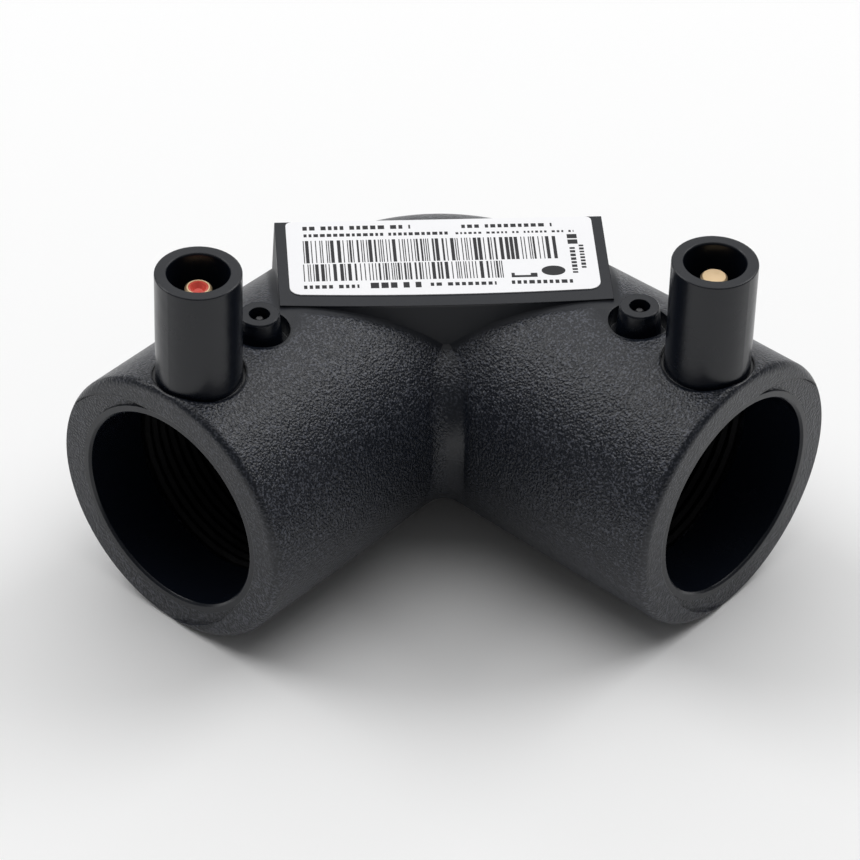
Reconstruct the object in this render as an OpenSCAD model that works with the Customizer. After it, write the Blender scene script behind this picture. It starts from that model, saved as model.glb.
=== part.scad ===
// Equal 90 degree electrofusion elbow for 32 mm polyethylene pipe, in millimetres.
// One leg runs along +X and the other along -Y; the terminals stand along +Z.
// z = 0 is the underside of the sockets, and x = y = 0 the middle of the outline seen from above.

/* [Sockets] */
// Socket bore at the mouth
bore_d = 32.3; // [31.8:0.1:33]
// Outside diameter of a socket
socket_d = 43.8; // [43.4:0.2:46]
// From the corner where the two axes cross to the pipe stop
stop_t = 20; // [18:0.5:23]
// Depth of a socket, from its mouth to the pipe stop
socket_depth = 39.8; // [38:0.2:46]
// Rounding of the outer edge of a mouth
rim_round = 1.3; // [0.6:0.1:2]
// Lead-in chamfer at the bore
lead_in = 0.35; // [0.1:0.05:0.6]
// Depth of the recessed part of the mouth face
face_step = 0.4; // [0.1:0.05:0.5]
// Outside diameter of the smooth ring round the bore
ring_d = 34.8; // [34:0.2:35.6]

/* [Bend] */
// Outside diameter at the bend
bend_d = 42.9; // [42:0.1:43.3]
// Centre-line radius of the bend
bend_r = 14.7; // [14.2:0.1:15.2]
// Diameter of the passage through the bend
pass_d = 26; // [24:0.5:27]
// From the corner to where the taper of a leg ends
taper_t = 42; // [38:0.5:45]
// Radius of the blend in the inner corner
web_r = 4.5; // [3.5:0.25:5]

/* [Label plate] */
// Clear space between a corner of the plate and the sunk ring of an indicator
plate_gap = 1.1; // [0.6:0.1:3]
// From the corner to the front edge of the plate at its ends
plate_front = 22.1; // [21:0.1:23]
// From the corner to the back edge of the plate
plate_back = 1.3; // [0.8:0.1:3]
// Height of the plate over the sockets
plate_proud = 0.15; // [0.1:0.05:0.6]
// Bow of the front edge of the plate
plate_bow = 0.6; // [0.2:0.1:1]
// Margin between the label and the sides of the plate
label_margin = 1.65; // [1:0.05:4]
// Thickness of the label
label_t = 0.15; // [0.1:0.05:0.25]

/* [Terminals] */
// From the face of the mouth back to the axis of a terminal
term_in = 7.4; // [7:0.1:8]
// Offset of a terminal to the outer side of the leg
term_off = 0.5; // [0:0.1:0.8]
// Outside diameter of a terminal shroud
shroud_d = 12.8; // [12:0.1:13]
// Inside diameter of a shroud
shroud_in_d = 9.1; // [8.9:0.1:9.4]
// Height of a shroud over the socket
shroud_h = 17.9; // [16:0.1:19]
// Depth of the inside of a shroud
shroud_depth = 12.6; // [11:0.1:13]
// Diameter of a contact pin
pin_d = 4; // [3.8:0.1:4.2]
// From the rim of a shroud down to the top of the pin
pin_drop = 2.6; // [2:0.1:3.5]

/* [Fusion indicators] */
// From the face of the mouth back to the axis of an indicator
ind_in = 20.8; // [20:0.1:23]
// Offset of an indicator to the outer side of the leg
ind_off = 0.9; // [0:0.1:1.2]
// Diameter of the boss at its top
boss_d = 6; // [5.4:0.1:6.4]
// Height of the boss over the socket
boss_h = 2.6; // [2:0.1:3.4]
// Diameter of the hole in the boss
ind_hole_d = 3.15; // [2.8:0.05:3.4]
// Diameter of the sunk ring round the boss
moat_d = 9.2; // [8.6:0.1:9.8]

/* [Heating coils] */
// From the mouth to the first turn
cold_l = 10.9; // [10.5:0.1:12]
// From the last turn to the pipe stop
cold_in = 6; // [5:0.5:8]
// Turns of the winding
coil_turns = 13; // [8:1:13]
// Diameter of the coated wire
wire_d = 1.5; // [1:0.05:1.5]

/* [Hidden] */
$fn = 96;
bore_r = bore_d / 2;
socket_r = socket_d / 2;
bend_o = bend_d / 2;
leg_l = stop_t + socket_depth;
spread = (leg_l - socket_r) / 2;
coil_out_t = leg_l - cold_l;
coil_in_t = stop_t + cold_in;
term_t = leg_l - term_in;
ind_t = leg_l - ind_in;
plate_top = socket_r + plate_proud;
plate_w = 2 * (sqrt(2) * (ind_t - moat_d / 2 - plate_gap) - plate_front);
plate_flare = 0.8;
plate_curve = 400;
label_w = plate_w - 2 * label_margin;
label_front = 2.55;
label_back = 0.2;
label_corner = 1.8;
label_back_corner = 0.9;
shroud_top = socket_r + shroud_h;
shroud_floor = shroud_top - shroud_depth;
shroud_edge = 0.2;
shroud_lip = 0.2;
shroud_foot = 1.2;
pin_top = shroud_top - pin_drop;
pin_lift = 0.25;
neck_r = pin_d / 2 - 0.2;
collar_r = pin_d / 2 + 0.85;
collar_z = 2.4;
collar_h = 1.5;
pin_gap = 0.04;
boss_top = socket_r + boss_h;
groove_r = bore_r + wire_d + 0.3;
moat_floor = groove_r + 0.7;
ind_floor = moat_floor + 0.4;
coil_r = bore_r + wire_d / 2 + 0.15;
lead_r = bore_r + wire_d / 2 + 0.8;
lead_hole = wire_d / 2 + 0.25;
turn_a = 90 + 360 * coil_turns;
helix_0 = coil_out_t - wire_d / 2 - 0.15;
helix_1 = coil_in_t + wire_d / 2 + 0.6;
link_bend = wire_d / 2 + 0.7;
link_t = lead_r + link_bend + 2;
foot_z = lead_r + wire_d / 2 + 0.05;
web_c = 16.3;
web_in = 6;
web_w = web_r / sqrt(2);
web_lens = 128;
crease_r = bend_o + (socket_r - bend_o) * (socket_r - bend_r) / (taper_t - bend_r);
web_ring = (crease_r + web_r) * sqrt(2) - web_c - 0.1;

// Placing: the leg along +X, its mirror image along -Y, and the frame of the plate
module place() translate([-spread, spread, socket_r]) children();
module other() mirror([1, 1, 0]) children();
module both() { children(); other() children(); }
module along() rotate([0, 90, 0]) children();
module diagonal() rotate([0, 0, 45]) children();

function arc(x, y, r, a0, a1, n) = [for (i = [0 : n]) let (a = a0 + (a1 - a0) * i / n)
    [x + r * cos(a), y + r * sin(a)]];

// The outside of a leg: tapered from the bend, straight to the mouth, with a rounded rim
module leg_outside() along() rotate_extrude() polygon(concat(
    [[0, bend_r], [bend_o, bend_r], [socket_r, taper_t]],
    arc(socket_r - rim_round, leg_l - rim_round, rim_round, 0, 90, 8),
    [[0, leg_l]]));

module sweep(r) translate([bend_r, -bend_r, 0]) rotate([0, 0, 90]) rotate_extrude(angle = 90)
    intersection() {
        translate([bend_r, 0]) circle(r);
        translate([0, -r - 1]) square([bend_r + r + 1, 2 * r + 2]);
    }

// The blend between the two legs in the inner corner: a hollow band, narrower to its ends
module corner_web() diagonal() intersection() {
    translate([0, -web_c, 0]) along() rotate_extrude() difference() {
        translate([web_in, -web_w - 1]) square([web_ring - web_in, 2 * web_w + 2]);
        translate([web_ring, 0]) circle(web_r);
    }
    rotate([90, 0, 0]) linear_extrude(height = 2 * socket_r) intersection() {
        translate([web_lens - web_w, 0]) circle(web_lens);
        translate([web_w - web_lens, 0]) circle(web_lens);
    }
}

// The raised plate that carries the label
module plate_block() diagonal() intersection() {
    translate([0, -plate_back, 0]) rotate([90, 0, 0]) linear_extrude(height = plate_front + 3)
        polygon([[-plate_w / 2 - plate_flare, 0], [plate_w / 2 + plate_flare, 0],
                 [plate_w / 2, plate_top], [-plate_w / 2, plate_top]]);
    translate([0, -plate_front - plate_bow + plate_curve, -1])
        cylinder(r = plate_curve, h = plate_top + 2, $fn = 360);
}

module at_terminal() translate([term_t, term_off, 0]) children();
module at_indicator() translate([ind_t, ind_off, 0]) children();

module shroud_outside() at_terminal() rotate_extrude() polygon([
    [0, groove_r + 0.3], [shroud_d / 2, groove_r + 0.3], [shroud_d / 2, shroud_top - shroud_edge],
    [shroud_d / 2 - shroud_edge * 0.3, shroud_top - shroud_edge * 0.3],
    [shroud_d / 2 - shroud_edge, shroud_top], [0, shroud_top]]);

module shroud_inside() at_terminal() rotate_extrude() polygon([
    [0, shroud_floor], [shroud_in_d / 2, shroud_floor], [shroud_in_d / 2, shroud_top - shroud_lip * 1.7],
    [shroud_in_d / 2 + shroud_lip * 0.35, shroud_top - shroud_lip * 0.7],
    [shroud_in_d / 2 + shroud_lip, shroud_top], [shroud_in_d / 2 + shroud_lip, shroud_top + 1],
    [0, shroud_top + 1]]);

module shroud_groove() at_terminal() rotate_extrude()
    translate([shroud_d / 2 - 0.6, socket_r - shroud_foot]) square([1.1, 2 * shroud_foot]);

module boss() at_indicator() rotate_extrude() polygon([
    [0, moat_floor - 0.4], [boss_d / 2 + 0.55, moat_floor - 0.4],
    [boss_d / 2 + 0.05, boss_top - 0.3], [boss_d / 2 - 0.15, boss_top], [0, boss_top]]);

module moat() at_indicator() translate([0, 0, moat_floor]) cylinder(d = moat_d, h = boss_top);

// The socket: pipe stop, coil groove, cold zone and lead-in
module socket_inside() along() rotate_extrude() polygon([
    [0, stop_t], [bore_r, stop_t], [bore_r, coil_in_t], [groove_r, coil_in_t],
    [groove_r, coil_out_t], [bore_r, coil_out_t], [bore_r, leg_l - lead_in],
    [bore_r + lead_in, leg_l], [bore_r + lead_in, leg_l + 1], [0, leg_l + 1]]);

module passage() {
    sweep(pass_d / 2);
    both() along() translate([0, 0, bend_r]) cylinder(d = pass_d, h = stop_t - bend_r + 0.5);
}

// The recessed part of a mouth's face, bounded by a round step set to the outer side
module face_recess() translate([leg_l - face_step, 0, 0]) along() difference() {
    translate([2.5, 4, 0]) cylinder(r = socket_r - 2.4, h = 1);
    translate([0, 0, -1]) cylinder(d = ring_d, h = 3);
}

// Holes for the wire: from the winding to the pin's foot, and round the inner corner
module lead_holes() {
    translate([coil_out_t - 1.3, term_off, lead_r])
        along() cylinder(r = lead_hole, h = term_t - coil_out_t + 2.3);
    translate([lead_r - lead_hole, -lead_r, 0])
        along() cylinder(r = lead_hole, h = coil_in_t - lead_r + 2.2);
}

module pin_hole() at_terminal() rotate_extrude() polygon([
    [0, lead_r], [neck_r + pin_gap, lead_r], [neck_r + pin_gap, foot_z + collar_z - pin_gap],
    [collar_r + pin_gap, foot_z + collar_z - pin_gap],
    [collar_r + pin_gap, foot_z + collar_z + collar_h], [neck_r + pin_gap, foot_z + collar_z + collar_h],
    [neck_r + pin_gap, shroud_floor + 1], [0, shroud_floor + 1]]);

module elbow_body() color([0.075, 0.078, 0.082]) place() difference() {
    union() {
        difference() {
            union() {
                sweep(bend_o);
                both() leg_outside();
                corner_web();
                plate_block();
            }
            both() { moat(); shroud_groove(); }
        }
        both() { boss(); shroud_outside(); }
    }
    passage();
    both() {
        socket_inside();
        shroud_inside();
        pin_hole();
        lead_holes();
        face_recess();
        at_indicator() translate([0, 0, ind_floor]) cylinder(d = ind_hole_d, h = boss_top);
    }
}

// A wire swept along a path: six flats, each ring square to the path, its first point turned to "up"
function unit(v) = v / norm(v);
function tangent(p, i) = unit(p[min(i + 1, len(p) - 1)] - p[max(i - 1, 0)]);
function wire_ring(c, t, up, r) = let (b = unit(cross(t, up)), n = cross(b, t))
    [for (k = [0 : 5]) c + r * (n * cos(60 * k) + b * sin(60 * k))];
module wire(path, ups, r) {
    n = len(path);
    points = [for (i = [0 : n - 1], q = wire_ring(path[i], tangent(path, i), ups[i], r)) q];
    polyhedron(points = points, convexity = 10, faces = concat(
        [[for (k = [0 : 5]) k]],
        [for (i = [0 : n - 2], k = [0 : 5]) let (a = i * 6 + k, b = i * 6 + (k + 1) % 6) [a, a + 6, b]],
        [for (i = [0 : n - 2], k = [0 : 5]) let (a = i * 6 + k, b = i * 6 + (k + 1) % 6) [b, a + 6, b + 6]],
        [[for (k = [5 : -1 : 0]) (n - 1) * 6 + k]]));
}

helix_n = 24 * coil_turns;
function helix(a) = [helix_0 + (helix_1 - helix_0) * (a - 4) / (turn_a - 8),
    -coil_r * sin(a), coil_r * cos(a)];
helix_a = [for (i = [0 : helix_n]) 4 + (turn_a - 8) * i / helix_n];
lead_path = [[term_t + 0.4, term_off, lead_r], [coil_out_t + 0.5, term_off, lead_r],
             [coil_out_t - 0.2, term_off, lead_r - 0.1], [coil_out_t - 0.6, term_off - 0.2, lead_r - 0.45],
             [helix_0 + 0.1, -0.45, coil_r + 0.02]];
tail_path = [[helix_1 - 0.15, -coil_r - 0.05, 0.6], [helix_1 - 0.45, -coil_r - 0.25, 0.22],
             [helix_1 - 0.85, -coil_r - 0.5, 0.05], [helix_1 - 1.4, -lead_r, 0], [link_t, -lead_r, 0]];
module coil() color([0.05, 0.05, 0.055]) wire(
    concat(lead_path, [for (a = helix_a) helix(a)], tail_path),
    concat([for (p = lead_path) [0, 0, 1]], [for (a = helix_a) [0, -sin(a), cos(a)]],
        [for (p = tail_path) [0, -1, 0]]),
    wire_d / 2);
module coil_right() place() coil();
module coil_left() place() other() coil();

// The wire that joins the two windings round the inner corner
link_path = concat([[link_t, -lead_r, 0]],
    arc(lead_r + link_bend, -lead_r - link_bend, link_bend, 90, 180, 4), [[lead_r, -link_t, 0]]);
module link_wire() color([0.05, 0.05, 0.055]) place()
    wire([for (p = link_path) [p[0], p[1], 0]], [for (p = link_path) [0, 0, 1]], wire_d / 2);

// A turned contact pin, necked where it stands in the moulding, with a collar that the moulding grips
module pin_shape() at_terminal() rotate_extrude() polygon([
    [0, foot_z], [neck_r, foot_z], [neck_r, foot_z + collar_z], [collar_r, foot_z + collar_z],
    [collar_r, foot_z + collar_z + collar_h], [neck_r, foot_z + collar_z + collar_h],
    [neck_r, shroud_floor + pin_lift], [pin_d / 2, shroud_floor + pin_lift],
    [pin_d / 2, pin_top - 0.3], [pin_d / 2 - 0.3, pin_top], [0, pin_top]]);
module pin_right() color([0.80, 0.66, 0.42]) place() pin_shape();
module pin_left() color([0.80, 0.66, 0.42]) place() other() difference() {
    pin_shape();
    at_terminal() translate([0, 0, pin_top - 3]) cylinder(r = pin_d / 2 - 0.5, h = 4);
}

// The red insert that codes the left pin, dished at its top
module pin_insert() color([0.72, 0.12, 0.09]) place() other() at_terminal() rotate_extrude() polygon([
    [0, pin_top - 3], [pin_d / 2 - 0.5, pin_top - 3], [pin_d / 2 - 0.5, pin_top - 0.1],
    [pin_d / 2 - 0.8, pin_top - 0.05], [pin_d / 2 - 1.35, pin_top - 0.75], [0, pin_top - 0.8]]);

// A loose plastic peg that the melt lifts when the joint is made
module peg() color([0.10, 0.10, 0.105]) at_indicator() rotate_extrude() polygon([
    [0, ind_floor], [ind_hole_d / 2 - 0.05, ind_floor], [ind_hole_d / 2 - 0.05, ind_floor + 1.6],
    [ind_hole_d / 2 - 0.5, ind_floor + 2.2], [ind_hole_d / 2 - 0.5, boss_top - 1.6],
    [0.45, boss_top - 0.8], [0, boss_top - 0.75]]);
module indicator_right() place() peg();
module indicator_left() place() other() peg();

// The printed label: round front corners, small back corners, bowed front edge
label_edge = -plate_front - plate_bow + label_front;
label_side = label_w / 2 - label_corner;
label_side_back = label_w / 2 - label_back_corner;
label_rear = -plate_back - label_back - label_back_corner;
module label() color([0.95, 0.95, 0.96]) place() diagonal() translate([0, 0, plate_top])
    linear_extrude(height = label_t) intersection() {
        polygon(concat(
            arc(label_side, label_edge + label_corner + plate_bow, label_corner, 0, -80, 6),
            [[label_side - 0.4, label_edge - label_front], [0.4 - label_side, label_edge - label_front]],
            arc(-label_side, label_edge + label_corner + plate_bow, label_corner, 260, 180, 6),
            arc(-label_side_back, label_rear, label_back_corner, 180, 90, 4),
            arc(label_side_back, label_rear, label_back_corner, 90, 0, 4)));
        translate([0, label_edge + plate_curve]) circle(r = plate_curve, $fn = 360);
    }

elbow_body();
coil_right();
coil_left();
link_wire();
pin_right();
pin_left();
pin_insert();
indicator_right();
indicator_left();
label();
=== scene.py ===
import math
import random

import bmesh
import bpy
from mathutils import Matrix, Vector


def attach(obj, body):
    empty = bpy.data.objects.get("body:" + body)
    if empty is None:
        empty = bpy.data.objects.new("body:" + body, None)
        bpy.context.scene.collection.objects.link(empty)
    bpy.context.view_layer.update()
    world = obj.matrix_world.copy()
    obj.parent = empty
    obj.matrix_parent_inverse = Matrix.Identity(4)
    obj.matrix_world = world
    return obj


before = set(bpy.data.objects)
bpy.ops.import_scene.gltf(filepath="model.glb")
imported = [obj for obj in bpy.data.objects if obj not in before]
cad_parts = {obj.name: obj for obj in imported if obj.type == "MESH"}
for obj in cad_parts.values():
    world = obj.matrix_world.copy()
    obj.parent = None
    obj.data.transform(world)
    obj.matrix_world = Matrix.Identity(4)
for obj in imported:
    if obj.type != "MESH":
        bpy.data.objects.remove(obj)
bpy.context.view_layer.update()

# Where the photographer stood: 0.7 m from the fitting and 39 degrees above it, in front of its
# inner corner, with a long lens. The axes are those of the camera, written out in the part's frame.
to_right = Vector((0.7520, 0.6587, 0.0242))
ahead = Vector((-0.4992, 0.5931, -0.6318)).normalized()
to_right = (to_right - ahead * to_right.dot(ahead)).normalized()
camera = bpy.data.objects.new("camera", bpy.data.cameras.new("camera"))
bpy.context.scene.collection.objects.link(camera)
camera.data.sensor_width = 36
camera.data.lens = 195.6
camera.data.clip_start, camera.data.clip_end = 0.05, 20
camera.matrix_world = Matrix.Translation((0.35060, -0.42029, 0.46926)) @ Matrix(
    (to_right, to_right.cross(ahead), -ahead)).transposed().to_4x4()
bpy.context.scene.camera = camera

# The moulding: one piece of black polyethylene with both sockets, the bend, the label plate, the
# terminal shrouds and the indicator bosses. The mould was eroded to a fine grain where a hand holds
# the fitting, and polished on the plate, the shrouds, the bosses and inside the sockets.
CORNER = (-18.95, 18.95, 21.9)      # where the axes of the two sockets cross, in millimetres
MOUTH, MOUTH_R = 59.8, 17.4         # from the corner to the end of a leg, and the bore there
TERMINAL, SHROUD_R = (52.4, 0.5), 6.9       # along a leg and to its outer side; with its foot
INDICATOR, BOSS_R = (39.0, 0.9), 4.7        # the same, with the sunk ring round the boss
PLATE_HALF_WIDTH, PLATE_HALF_DEPTH = 25.4, 10.9     # with the walls of the plate
PLATE_MIDDLE, PLATE_TOP = -11.9, 22.05      # behind the corner and above it
PATCH = (25.5, -24.0)               # the smooth patch off the plate's corner, across and behind
STEP_CENTRE, STEP_R = (4.0, -2.5), 19.5     # the step on each mouth face, aside and up
CROTCH_MIDDLE = 1.2                 # of the polished band in the inner corner, across


class Signal:
    """A value on its way to a socket, which Python's operators turn into Math nodes."""

    def __init__(self, finish, socket):
        self.finish, self.socket = finish, socket

    def maths(self, operation, *values):
        return self.finish.node("ShaderNodeMath", {"operation": operation}, dict(enumerate(values)))

    def __add__(self, other):
        return self.maths("ADD", self, other)

    def __sub__(self, other):
        return self.maths("SUBTRACT", self, other)

    def __rsub__(self, other):
        return self.maths("SUBTRACT", other, self)

    def __mul__(self, other):
        return self.maths("MULTIPLY", self, other)

    def __neg__(self):
        return self.maths("MULTIPLY", self, -1)

    def __abs__(self):
        return self.maths("ABSOLUTE", self)

    __radd__, __rmul__ = __add__, __mul__

    def least(self, other):
        return self.maths("MINIMUM", self, other)

    def most(self, other):
        return self.maths("MAXIMUM", self, other)

    def fade(self, low, high, at_low=0.0, at_high=1.0):
        """A soft step from one level to another as this value goes from low to high."""
        return self.finish.node("ShaderNodeMapRange", {"interpolation_type": "SMOOTHSTEP"}, {
            "Value": self, "From Min": low, "From Max": high, "To Min": at_low, "To Max": at_high})


def length(a, b):
    squares = a * a + b * b
    return squares.maths("SQRT", squares)


class Finish:
    """A procedural material on Object coordinates, given in millimetres from the corner."""

    def __init__(self, name, **constants):
        self.material = bpy.data.materials.new(name)
        self.material.use_nodes = True
        self.tree = self.material.node_tree
        self.shader = self.tree.nodes["Principled BSDF"]
        for socket, value in constants.items():
            self.shader.inputs[socket.replace("_", " ")].default_value = value

    def node(self, kind, settings, sockets, out=0):
        made = self.tree.nodes.new(kind)
        for name, value in settings.items():
            setattr(made, name, value)
        for key, value in sockets.items():
            if isinstance(value, Signal):
                self.tree.links.new(value.socket, made.inputs[key])
            else:
                made.inputs[key].default_value = value
        return Signal(self, made.outputs[out])

    def place(self, turn=0):
        """The point in millimetres from the corner, turned about Z by so many degrees."""
        here = self.node("ShaderNodeTexCoord", {}, {}, "Object")
        scaled = self.node("ShaderNodeMapping", {"vector_type": "POINT"}, {
            "Vector": here, "Scale": (1000,) * 3, "Location": tuple(-c for c in CORNER)})
        if turn:
            scaled = self.node("ShaderNodeVectorRotate", {"rotation_type": "Z_AXIS"}, {
                "Vector": scaled, "Angle": math.radians(turn)})
        return scaled

    def axes(self, point):
        parts = self.node("ShaderNodeSeparateXYZ", {}, {0: point}).socket.node
        return [Signal(self, output) for output in parts.outputs]

    def grain(self, point, scale, detail, **more):
        return self.node("ShaderNodeTexNoise", {}, {
            "Vector": point, "Scale": scale, "Detail": detail, **more}, "Fac")

    def mix(self, share, a, b):
        return self.node("ShaderNodeMix", {"data_type": "RGBA"}, {0: share, 6: a, 7: b}, 2)

    def bump(self, height, depth, under=None):
        """Relief whose height signal of 0 to 1 stands for so many millimetres."""
        sockets = {"Height": height, "Distance": depth / 1000, "Strength": 1.0}
        if under:
            sockets["Normal"] = under
        return self.node("ShaderNodeBump", {}, sockets)

    def feed(self, **signals):
        for socket, signal in signals.items():
            self.tree.links.new(signal.socket, self.shader.inputs[socket.replace("_", " ")])

    def dress(self, piece):
        piece.data.materials.clear()
        piece.data.materials.append(self.material)


moulding = Finish("black_polyethylene", IOR=1.45)
point = moulding.place()
x, y, z = moulding.axes(point)
along = x.most(-y)                  # the same for both legs, which mirror each other
aside = -(x.least(-y))              # to a leg's outer side; to its inner side where negative
from_axis = length(aside, z)
across = (x + y) * math.sqrt(0.5)
behind = (y - x) * math.sqrt(0.5)

# Where the mould was polished. Each of these is 1 in its place and 0 elsewhere, and fades over a
# few tenths of a millimetre, or over more where the polish ran out slowly.
over = z.fade(17.0, 17.6)
from_terminal = length(along - TERMINAL[0], aside - TERMINAL[1])
at_shroud = from_terminal.fade(SHROUD_R, SHROUD_R + 0.4, 1.0, 0.0) * over
from_indicator = length(along - INDICATOR[0], aside - INDICATOR[1])
at_boss = from_indicator.fade(BOSS_R, BOSS_R + 0.5, 1.0, 0.0) * over
plate_side = (abs(across) - PLATE_HALF_WIDTH).most(0.0)
plate_end = (abs(behind - PLATE_MIDDLE) - PLATE_HALF_DEPTH).most(0.0)
at_plate = length(plate_side, plate_end).fade(0.3, 1.4, 1.0, 0.0) * z.fade(11.0, 14.0)
from_patch = length(abs(across) - PATCH[0], behind - PATCH[1])
at_corner = from_patch.fade(2.6, 6.0, 1.0, 0.0) * over
in_bore = from_axis.fade(MOUTH_R - 0.1, MOUTH_R + 0.1, 1.0, 0.0) * along.fade(-1.0, 1.0)
crotch_band = abs(across - CROTCH_MIDDLE).fade(0.9, 2.2, 0.8, 0.0)
in_crotch = crotch_band * behind.fade(-31.5, -27.0, 1.0, 0.0)
on_face = along.fade(MOUTH - 0.9, MOUTH - 0.6)
on_top = z.fade(-6.0, 2.0)
from_step = length(aside - STEP_CENTRE[0], z - STEP_CENTRE[1])
crescent = from_step.fade(STEP_R, STEP_R + 0.3) * on_face * on_top * 0.5
polished = at_shroud.most(at_boss).most(at_plate).most(at_corner)
eroded = 1.0 - polished.most(in_bore).most(in_crotch).most(crescent)

# The lines that the mould left: the step between two of its inserts, and where its halves met.
# The step's line is a small groove in the relief, and it is also painted darker in the colour as a
# painted shadow under the step.
step_groove_and_painted_shade = abs(from_step - STEP_R).fade(0.04, 0.17, 1.0, 0.0)
step_groove_and_painted_shade = step_groove_and_painted_shade * on_face * on_top * from_axis.fade(MOUTH_R, MOUTH_R + 0.2)
parting = abs(z).fade(0.06, 0.16, 1.0, 0.0)
parting = parting * (1.0 - on_face) * (1.0 - in_crotch) * from_axis.fade(20.0, 20.5)

# The grain, in the relief. Its tops are painted lighter in the colour, a painted highlight for
# their glints, more evenly on the outer sides; and the colour is painted darker low in the inner
# corner, as painted shade. Every edge is softened by a fifth of a millimetre.
pits = moulding.grain(point, 2.6, 1.5, Roughness=0.6)
pebbles = moulding.node("ShaderNodeTexVoronoi", {"feature": "SMOOTH_F1"}, {
    "Vector": point, "Scale": 2.7, "Smoothness": 0.35, "Randomness": 1.0})
relief = (pits * 0.6 + (1.0 - pebbles) * 0.5) * eroded + parting * 0.35 - step_groove_and_painted_shade * 0.9
softened = moulding.node("ShaderNodeBevel", {"samples": 6}, {"Radius": 0.22 / 1000})
soft_waves = moulding.bump(moulding.grain(point, 0.35, 2.0), 0.05, softened)
cloud = moulding.grain(point, 0.16, 3.0)
outer = aside.fade(8.0, 16.0)
painted_glints_and_tone = pits.fade(0.50, 0.64) * (0.90 - outer * 0.50) + outer * 0.07 + cloud * 0.10
# Painted shade: this factor darkens the colour to 0.35 low on the inner flanks near the inner
# corner, and is 1 elsewhere.
painted_corner_shade = along.fade(30.0, 54.0, 0.35, 1.0).most(z.fade(4.0, 14.0, 0.35, 1.0))
painted_corner_shade = painted_corner_shade.most(aside.fade(-10.0, 0.0, 0.35, 1.0))
at_wall = at_plate * z.fade(PLATE_TOP - 0.45, PLATE_TOP - 0.15, 1.0, 0.0)
# The colour carries painted light: a painted highlight on the grain's tops, painted shade low in
# the inner corner, and a painted shadow along the step on each mouth face.
moulding.feed(
    Base_Color=moulding.mix(
        eroded * (1.0 - step_groove_and_painted_shade) * painted_corner_shade * painted_glints_and_tone,
        (0.0035, 0.0052, 0.0095, 1), (0.064, 0.069, 0.086, 1)),
    Roughness=eroded * 0.07 + cloud * 0.10 + at_wall * 0.25 + 0.21,
    Normal=moulding.bump(relief, 0.20, soft_waves))
moulding.dress(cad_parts["elbow_body"])

# The heating wires: resistance wire in a smooth black coat, wound in the grooves of the sockets,
# with one more length that joins the two windings round the inner corner. They are moulded in.
coat = Finish("wire_coat", IOR=1.35, Specular_IOR_Level=0.3)
coat_streaks = coat.grain(coat.place(), 1.4, 3.0)
coat.feed(
    Base_Color=coat.mix(coat_streaks, (0.0025, 0.0025, 0.003, 1), (0.006, 0.006, 0.007, 1)),
    Roughness=coat_streaks * 0.2 + 0.5)
for name in ("coil_right", "coil_left", "link_wire"):
    coat.dress(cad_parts[name])

# The contact pins: turned brass with a pale plating, standing in the shrouds. The plating is
# unevenly dulled by handling and finely scratched by the plugs that were pushed over it.
plating = Finish("plated_brass", Metallic=1.0)
plating_point = plating.place()
tarnish = plating.grain(plating_point, 0.9, 4.0)
scratches = plating.grain(plating_point, 5.0, 3.0)
plating.feed(
    Base_Color=plating.mix(tarnish, (0.69, 0.51, 0.295, 1), (0.77, 0.60, 0.40, 1)),
    Roughness=tarnish * 0.15 + 0.42,
    Normal=plating.bump(scratches, 0.01))
for name in ("pin_right", "pin_left"):
    plating.dress(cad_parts[name])

# The red insert: a small glossy moulding pressed into the left pin, by which the welding machine
# tells that pin's lead.
red = Finish("red_insert", IOR=1.5)
red_cloud = red.grain(red.place(), 1.2, 3.0)
red.feed(
    Base_Color=red.mix(red_cloud, (0.52, 0.055, 0.04, 1), (0.68, 0.10, 0.07, 1)),
    Roughness=red_cloud * 0.15 + 0.18)
red.dress(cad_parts["pin_insert"])

# The fusion indicators: loose pegs of black plastic in the bosses. The melt lifts them when the
# joint is made; in a new fitting they sit low.
peg = Finish("indicator_peg", IOR=1.5)
peg_cloud = peg.grain(peg.place(), 1.0, 3.0)
peg.feed(
    Base_Color=peg.mix(peg_cloud, (0.016, 0.016, 0.018, 1), (0.03, 0.03, 0.032, 1)),
    Roughness=peg_cloud * 0.12 + 0.18)
for name in ("indicator_right", "indicator_left"):
    peg.dress(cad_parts[name])

# The label: satin white film with rounded corners, glued to the plate. It is very slightly
# fibrous, which shows only in its gloss.
LABEL_TURN = 45                     # degrees from the right leg's axis to the label's long side
film = Finish("label_film", IOR=1.46)
film_point = film.place(-LABEL_TURN)
film_cloud = film.grain(film_point, 0.12, 3.0)
film_fibre = film.grain(film_point, 3.0, 3.0)
film.feed(
    Base_Color=film.mix(film_cloud, (0.88, 0.88, 0.90, 1), (0.93, 0.93, 0.945, 1)),
    Roughness=film_fibre * 0.15 + 0.38,
    Normal=film.bump(film_fibre, 0.004))
film.dress(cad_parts["label"])

# The print on the label: bars and rows of short dashes in black ink, raised a hundredth of a
# millimetre. It says nothing: the bars are of random widths and the dashes stand for words.
FILM_T = 0.15
INK_TOP = PLATE_TOP + FILM_T + 0.012
INK_T = 0.03                        # more than half of it sunk in the film, so no gap shows
ink_mesh = bmesh.new()


def ink_block(left, right, near, far):
    """One printed block, in millimetres along and across the label, from the corner."""
    block = bmesh.ops.create_cube(ink_mesh, size=1)["verts"]
    bmesh.ops.scale(ink_mesh, verts=block, vec=(right - left, far - near, INK_T))
    bmesh.ops.translate(
        ink_mesh, verts=block, vec=((left + right) / 2, (near + far) / 2, INK_TOP - INK_T / 2))


def dash_width(height, rng):
    return rng.uniform(0.5, 0.95) * height * 1.1


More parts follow.
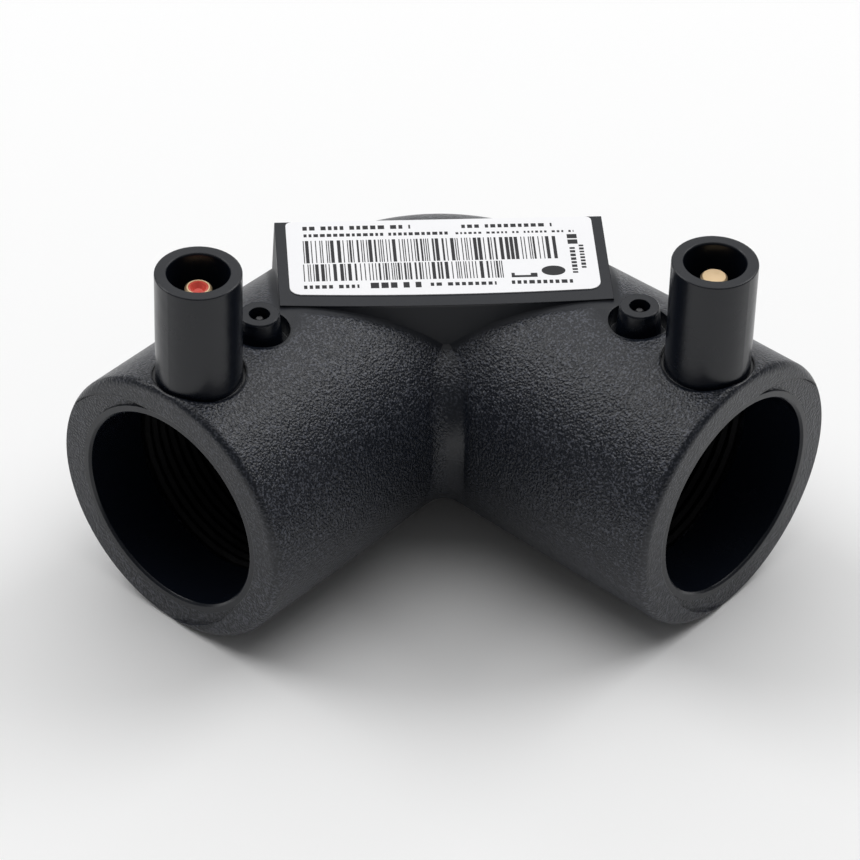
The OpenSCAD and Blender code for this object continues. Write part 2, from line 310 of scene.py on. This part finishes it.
def dash_row(left, right, middle, height, rng, gap=0.35):
    """A line of words: dashes with a small gap after each, or now and then a wide one."""
    at = left
    while at < right:
        end = min(at + dash_width(height, rng), right)
        ink_block(at, end, middle - height / 2, middle + height / 2)
        at = end + gap * (2.6 if rng.random() < 0.14 else 1)


def dash_column(middle, near, far, width, rng):
    at = far
    while at > near:
        end = max(at - dash_width(width, rng), near)
        ink_block(middle - width / 2, middle + width / 2, end, at)
        at = end - 0.3


def bar_row(left, right, near, far, rng):
    at = left
    while at < right - 0.6:
        end = at + rng.choice((0.15, 0.15, 0.15, 0.30, 0.52))
        ink_block(at, end, near, far)
        at = end + rng.choice((0.17, 0.17, 0.34, 0.34, 0.51))


def ink_oval(x, y, half_width, half_height):
    oval = bmesh.ops.create_circle(ink_mesh, cap_ends=True, segments=40, radius=1)["verts"]
    bmesh.ops.scale(ink_mesh, verts=oval, vec=(half_width, half_height, 1))
    bmesh.ops.translate(ink_mesh, verts=oval, vec=(x, y, INK_TOP))


# The rows from the label's back edge to its front, then the oval and the bracket, and last the
# columns at its right end.
rng = random.Random(7)
dash_row(-20.8, -4.4, -3.2, 0.95, rng)
dash_row(3.4, 17.2, -3.4, 0.85, rng)
dash_row(-20.7, 1.4, -5.0, 0.75, rng, 0.3)
dash_row(2.4, 20.4, -5.1, 0.5, rng, 0.3)
bar_row(-20.9, 17.9, -11.9, -6.3, rng)
bar_row(-21.1, 9.6, -16.4, -12.2, rng)
dash_row(-21.2, -12.9, -17.8, 0.85, rng)
dash_row(-11.2, -3.6, -17.7, 1.35, rng)
dash_row(-2.2, 7.7, -17.7, 0.8, rng)
dash_row(10.0, 19.2, -17.6, 0.85, rng)
ink_oval(16.5, -14.9, 1.8, 1.2)
ink_block(10.1, 14.0, -16.4, -15.9)
ink_block(10.1, 10.6, -15.9, -15.3)
ink_block(13.0, 14.0, -15.9, -15.4)
dash_column(20.0, -8.4, -5.9, 1.5, rng)
dash_column(19.8, -15.6, -9.2, 0.8, rng)
dash_column(21.2, -14.4, -8.6, 0.7, rng)
turn = Matrix.Rotation(math.radians(LABEL_TURN), 3, "Z")
bmesh.ops.rotate(ink_mesh, verts=ink_mesh.verts, matrix=turn)
bmesh.ops.translate(ink_mesh, verts=ink_mesh.verts, vec=CORNER)
bmesh.ops.scale(ink_mesh, verts=ink_mesh.verts, vec=(0.001,) * 3)
label_print = bpy.data.objects.new("label_print", bpy.data.meshes.new("label_print"))
ink_mesh.to_mesh(label_print.data)
ink_mesh.free()
bpy.context.scene.collection.objects.link(label_print)
ink = Finish("black_ink", IOR=1.45)
ink_speckle = ink.grain(ink.place(), 3.0, 3.0)
ink.feed(
    Base_Color=ink.mix(ink_speckle, (0.008, 0.008, 0.010, 1), (0.03, 0.03, 0.034, 1)),
    Roughness=ink_speckle * 0.2 + 0.55)
ink.dress(label_print)
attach(label_print, "root")

# The studio: a white paper floor under a large soft box, with a weaker box behind and a small,
# brighter one at either side, all of them behind the fitting, so that its front stays dark.
FLOOR_HALF = 3                      # metres
LAMP_TARGET = Vector((0, 0, 0.02))  # the middle of the fitting
floor_mesh = bmesh.new()
bmesh.ops.create_grid(floor_mesh, x_segments=1, y_segments=1, size=FLOOR_HALF)
floor = bpy.data.objects.new("floor", bpy.data.meshes.new("floor"))
floor_mesh.to_mesh(floor.data)
floor_mesh.free()
bpy.context.scene.collection.objects.link(floor)
paper = Finish("white_paper", Roughness=0.9)
paper_cloud = paper.grain(paper.node("ShaderNodeTexCoord", {}, {}, "Object"), 3.0, 2.0)
paper.feed(Base_Color=paper.mix(paper_cloud, (0.93, 0.93, 0.93, 1), (0.94, 0.94, 0.94, 1)))
paper.dress(floor)


def soft_box(name, place, size, power):
    lamp = bpy.data.objects.new(name, bpy.data.lights.new(name, "AREA"))
    lamp.data.shape = "RECTANGLE"
    lamp.data.size, lamp.data.size_y = size
    lamp.data.energy = power
    lamp.location = place
    lamp.rotation_euler = (LAMP_TARGET - Vector(place)).to_track_quat("-Z", "Y").to_euler()
    bpy.context.scene.collection.objects.link(lamp)


soft_box("box_over", (-0.10, 0.12, 1.05), (1.3, 1.3), 6.5)
soft_box("box_behind", (-0.95, 1.10, 0.95), (1.6, 0.9), 3.6)
soft_box("box_left", (-0.96, -0.30, 1.00), (0.9, 0.7), 6.2)
soft_box("box_right", (0.30, 0.96, 1.00), (0.9, 0.7), 6.2)
world = bpy.data.worlds.new("studio")
bpy.context.scene.world = world
world.use_nodes = True
world.node_tree.nodes["Background"].inputs["Color"].default_value = (1, 1, 1, 1)
world.node_tree.nodes["Background"].inputs["Strength"].default_value = 0.17
bpy.context.scene.view_settings.view_transform = "Standard"
